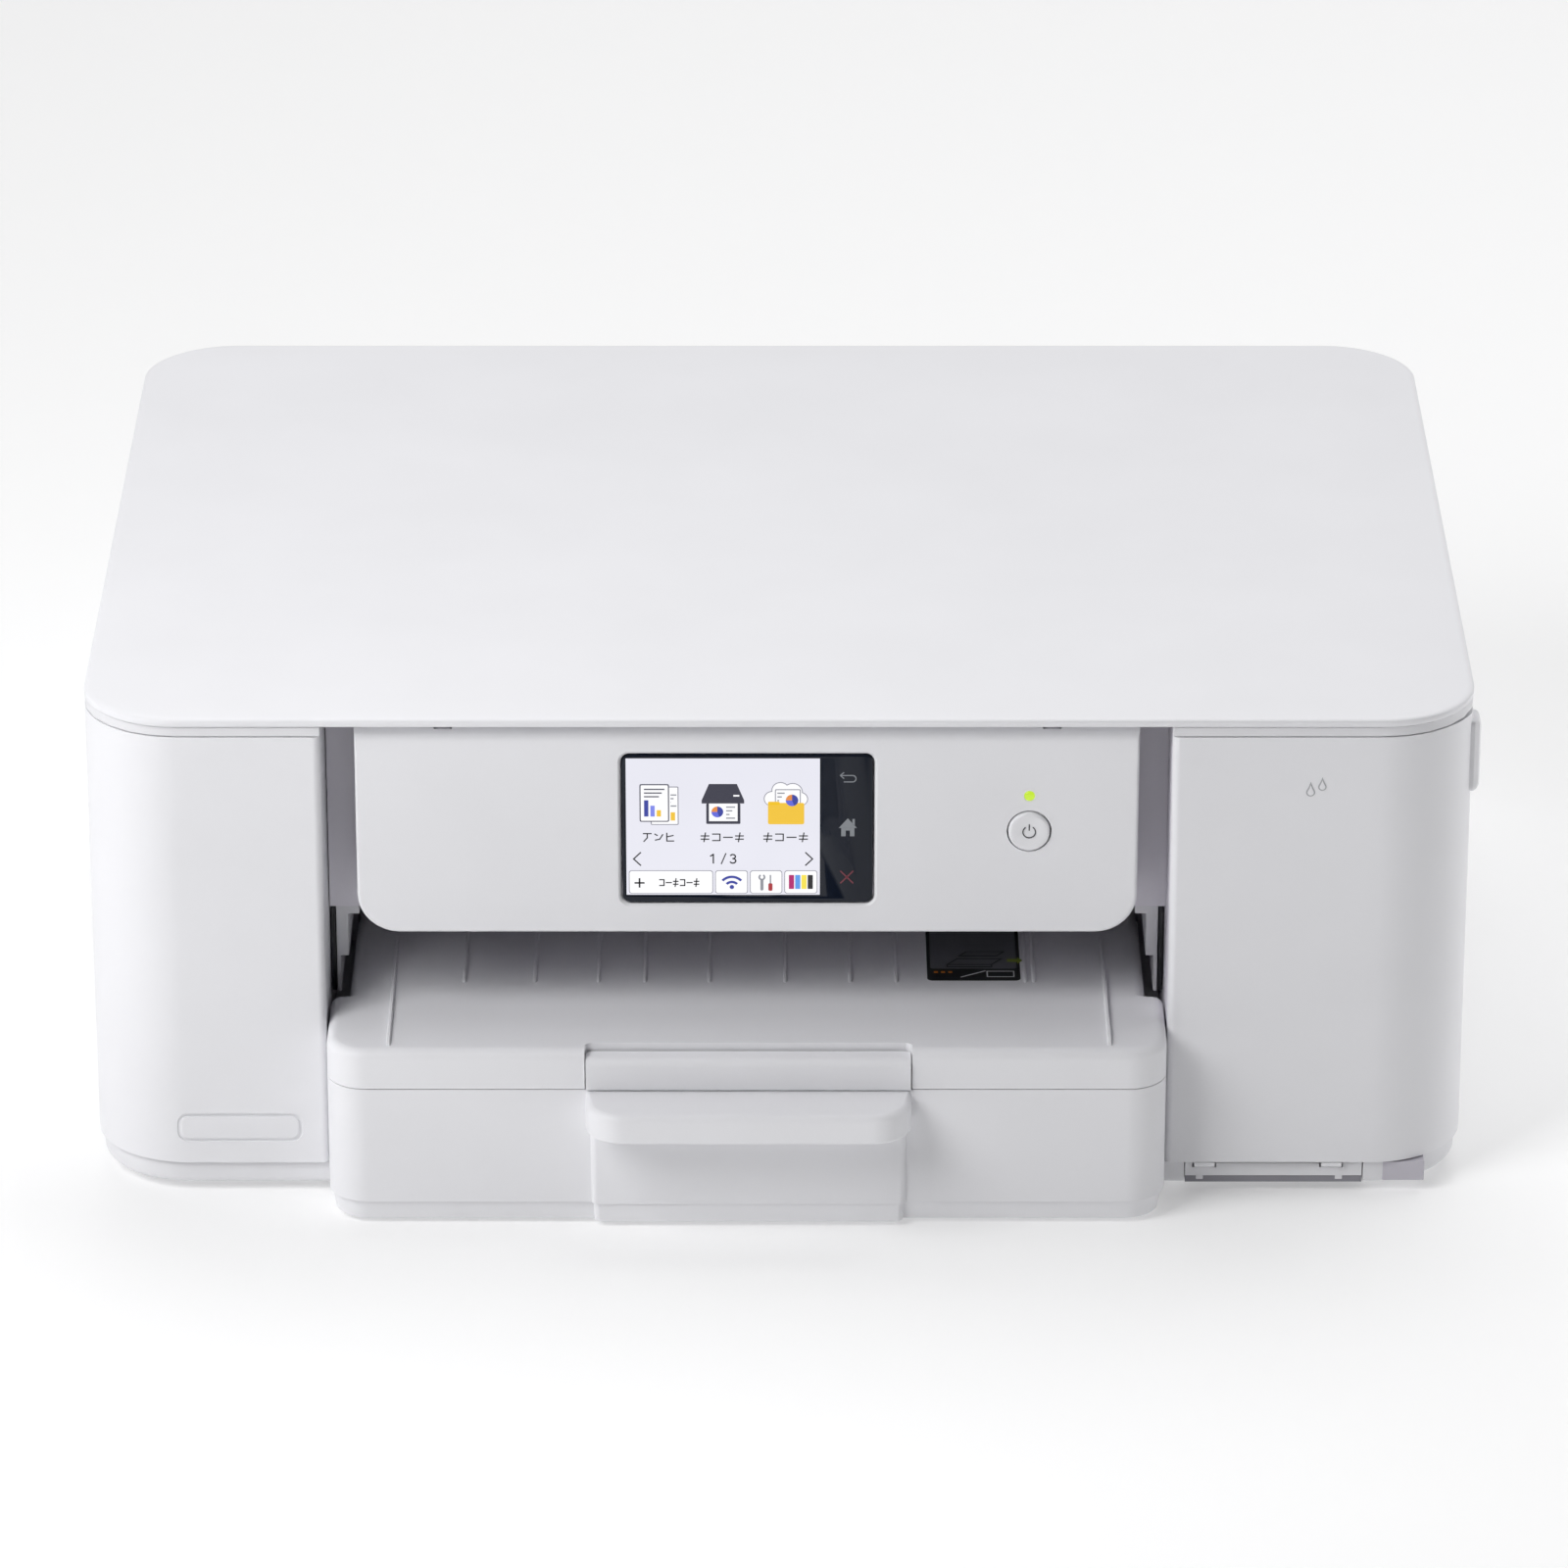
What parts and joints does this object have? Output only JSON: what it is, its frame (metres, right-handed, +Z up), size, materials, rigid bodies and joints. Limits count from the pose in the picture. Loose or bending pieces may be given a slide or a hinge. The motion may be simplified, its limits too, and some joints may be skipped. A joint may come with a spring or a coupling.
{
  "type": "inkjet printer",
  "caption": "Flat all-in-one inkjet printer with flatbed scanner lid, tilting touch display panel, front paper cassette and side ink door.",
  "frame": {"origin": "on the floor under the middle of the printer, at the centre of its bounding box's bottom", "axes": "+X to the right seen from the front, +Y to the back, +Z up"},
  "size_m": [0.4022, 0.341, 0.151],
  "materials": {
    "casing_white": "fine moulded grain, soft matt",
    "casing_grey": "fine moulded grain, matt",
    "inner_grey": "moulded, matt",
    "black_plastic": "moulded, matt",
    "foot_rubber": "matt",
    "roller_rubber": "ground, matt",
    "belt_rubber": "matt",
    "zinc_sheet": "zinc plated",
    "motor_steel": "bright",
    "circuit_board": "solder mask",
    "foam": "soft foam",
    "clear_glass": "clear",
    "display_window": "smoked, glossy",
    "light_pipe": "clear, lit green",
    "acetal": "moulded",
    "ink_black": "moulded",
    "ink_cyan": "moulded",
    "ink_magenta": "moulded",
    "ink_yellow": "moulded"
  },
  "bodies": {
    "root": {"base_chassis": "casing_grey", "left_cover": "casing_white", "right_cover": "casing_white", "rear_cover": "casing_white", "front_frame": "inner_grey", "guide_bracket_left": "casing_grey", "guide_bracket_right": "casing_grey", "foot_front_left": "foot_rubber", "foot_front_right": "foot_rubber", "foot_rear_left": "foot_rubber", "foot_rear_right": "foot_rubber", "carriage_rail": "zinc_sheet", "carriage_belt": "belt_rubber", "carriage_motor": "motor_steel", "platen": "black_plastic", "feed_motor": "motor_steel", "ink_bay": "black_plastic", "main_board": "circuit_board", "power_supply": "zinc_sheet", "purge_unit": "black_plastic", "waste_ink_pad": "foam", "ac_inlet": "black_plastic", "io_ports": "black_plastic"},
    "scanner_unit": {"scanner_base": "casing_white", "scanner_glass": "clear_glass", "scanner_rod": "motor_steel"},
    "scan_bar": {"scan_bar": "black_plastic"},
    "document_lid": {"document_lid": "casing_white", "lid_pad": "foam"},
    "control_panel": {"control_panel": "casing_grey", "display_module": "display_window", "power_light": "light_pipe"},
    "power_button": {"power_button": "casing_grey"},
    "print_carriage": {"print_carriage": "black_plastic", "print_head": "motor_steel"},
    "drive_pulley": {"drive_pulley": "acetal"},
    "idler_pulley": {"idler_pulley": "acetal"},
    "feed_roller": {"feed_roller": "roller_rubber", "feed_gear": "acetal"},
    "eject_roller": {"eject_roller": "roller_rubber", "eject_gear": "acetal"},
    "idler_gear": {"idler_gear": "acetal"},
    "motor_pinion": {"motor_pinion": "acetal"},
    "pickup_arm": {"pickup_arm": "casing_grey"},
    "pickup_roller": {"pickup_roller": "roller_rubber"},
    "paper_cassette": {"paper_cassette": "casing_grey"},
    "width_guide_left": {"width_guide_left": "inner_grey"},
    "width_guide_right": {"width_guide_right": "inner_grey"},
    "length_guide": {"length_guide": "inner_grey"},
    "output_tray": {"output_tray": "casing_grey"},
    "paper_support": {"paper_support": "casing_grey"},
    "stopper_flap": {"stopper_flap": "casing_grey"},
    "ink_door": {"ink_door": "casing_white"},
    "ink_cartridge_black": {"ink_cartridge_black": "ink_black"},
    "ink_cartridge_cyan": {"ink_cartridge_cyan": "ink_cyan"},
    "ink_cartridge_magenta": {"ink_cartridge_magenta": "ink_magenta"},
    "ink_cartridge_yellow": {"ink_cartridge_yellow": "ink_yellow"},
    "rear_jam_cover": {"rear_jam_cover": "casing_grey"}
  },
  "joints": [
    {"name": "scanner_lift", "type": "hinge", "parent": "root", "child": "scanner_unit", "pos_m": [0, 0.1705, 0.14525], "axis": [-1, 0, 0], "range_deg": [0, 35]},
    {"name": "scan_travel", "type": "slide", "parent": "scanner_unit", "child": "scan_bar", "axis": [1, 0, 0], "range_m": [0, 0.31]},
    {"name": "lid_hinge", "type": "hinge", "parent": "scanner_unit", "child": "document_lid", "pos_m": [0, 0.1705, 0.14845], "axis": [-1, 0, 0], "range_deg": [0, 75]},
    {"name": "panel_tilt", "type": "hinge", "parent": "root", "child": "control_panel", "pos_m": [-0.00935, -0.1245, 0.1425], "axis": [-1, 0, 0], "range_deg": [0, 45]},
    {"name": "power_press", "type": "slide", "parent": "control_panel", "child": "power_button", "axis": [0, 1, 0], "range_m": [0, 0.0012], "stiffness_N_per_m": 900, "springref_m": -0.0006},
    {"name": "carriage_travel", "type": "slide", "parent": "root", "child": "print_carriage", "axis": [-1, 0, 0], "range_m": [0, 0.225]},
    {"name": "drive_pulley_spin", "type": "hinge", "parent": "root", "child": "drive_pulley", "pos_m": [0.184, 0.056, 0.1], "axis": [0, 1, 0], "continuous": true},
    {"name": "idler_pulley_spin", "type": "hinge", "parent": "root", "child": "idler_pulley", "pos_m": [-0.122, 0.056, 0.1], "axis": [0, 1, 0], "continuous": true},
    {"name": "feed_spin", "type": "hinge", "parent": "root", "child": "feed_roller", "pos_m": [-0.00935, 0.046, 0.068], "axis": [1, 0, 0], "continuous": true},
    {"name": "eject_spin", "type": "hinge", "parent": "root", "child": "eject_roller", "pos_m": [-0.00935, -0.022, 0.068], "axis": [1, 0, 0], "continuous": true},
    {"name": "idler_gear_spin", "type": "hinge", "parent": "root", "child": "idler_gear", "pos_m": [-0.145, 0.012, 0.068], "axis": [1, 0, 0], "continuous": true},
    {"name": "motor_pinion_spin", "type": "hinge", "parent": "root", "child": "motor_pinion", "pos_m": [-0.145, 0.058, 0.08879], "axis": [1, 0, 0], "continuous": true},
    {"name": "pickup_swing", "type": "hinge", "parent": "root", "child": "pickup_arm", "pos_m": [-0.025, 0.074, 0.05], "axis": [1, 0, 0], "range_deg": [0, 10]},
    {"name": "pickup_spin", "type": "hinge", "parent": "pickup_arm", "child": "pickup_roller", "pos_m": [-0.0187, 0.12, 0.026], "axis": [1, 0, 0], "continuous": true},
    {"name": "cassette_slide", "type": "slide", "parent": "root", "child": "paper_cassette", "axis": [0, -1, 0], "range_m": [0, 0.2]},
    {"name": "width_guide_left_slide", "type": "slide", "parent": "paper_cassette", "child": "width_guide_left", "axis": [1, 0, 0], "range_m": [0, 0.055]},
    {"name": "width_guide_right_slide", "type": "slide", "parent": "paper_cassette", "child": "width_guide_right", "axis": [1, 0, 0], "range_m": [-0.055, 0]},
    {"name": "length_guide_slide", "type": "slide", "parent": "paper_cassette", "child": "length_guide", "axis": [0, 1, 0], "range_m": [0, 0.085]},
    {"name": "output_tray_tilt", "type": "hinge", "parent": "paper_cassette", "child": "output_tray", "pos_m": [-0.00935, -0.045, 0.0515], "axis": [-1, 0, 0], "range_deg": [0, 12]},
    {"name": "support_slide", "type": "slide", "parent": "output_tray", "child": "paper_support", "axis": [0, -1, 0], "range_m": [0, 0.08]},
    {"name": "stopper_flip", "type": "hinge", "parent": "paper_support", "child": "stopper_flap", "pos_m": [-0.00935, -0.1476, 0.0534], "axis": [-1, 0, 0], "range_deg": [0, 100]},
    {"name": "ink_door_hinge", "type": "hinge", "parent": "root", "child": "ink_door", "pos_m": [0.156, -0.131, 0.01], "axis": [1, 0, 0], "range_deg": [0, 90]},
    {"name": "rear_jam_cover_hinge", "type": "hinge", "parent": "root", "child": "rear_jam_cover", "pos_m": [-0.00935, 0.1705, 0.0665], "axis": [-1, 0, 0], "range_deg": [0, 60]},
    {"name": "ink_black_slide", "type": "slide", "parent": "root", "child": "ink_cartridge_black", "axis": [0, -1, 0], "range_m": [0, 0.025]},
    {"name": "ink_cyan_slide", "type": "slide", "parent": "root", "child": "ink_cartridge_cyan", "axis": [0, -1, 0], "range_m": [0, 0.025]},
    {"name": "ink_magenta_slide", "type": "slide", "parent": "root", "child": "ink_cartridge_magenta", "axis": [0, -1, 0], "range_m": [0, 0.025]},
    {"name": "ink_yellow_slide", "type": "slide", "parent": "root", "child": "ink_cartridge_yellow", "axis": [0, -1, 0], "range_m": [0, 0.025]}
  ],
  "couplings": [
    {"joint": "drive_pulley_spin", "follows": "carriage_travel", "rad_per_m": -149.25},
    {"joint": "idler_pulley_spin", "follows": "carriage_travel", "rad_per_m": -149.25},
    {"joint": "eject_spin", "follows": "feed_spin", "ratio": 1},
    {"joint": "idler_gear_spin", "follows": "feed_spin", "ratio": -1.125},
    {"joint": "motor_pinion_spin", "follows": "feed_spin", "ratio": -3},
    {"joint": "width_guide_right_slide", "follows": "width_guide_left_slide", "ratio": -1}
  ]
}
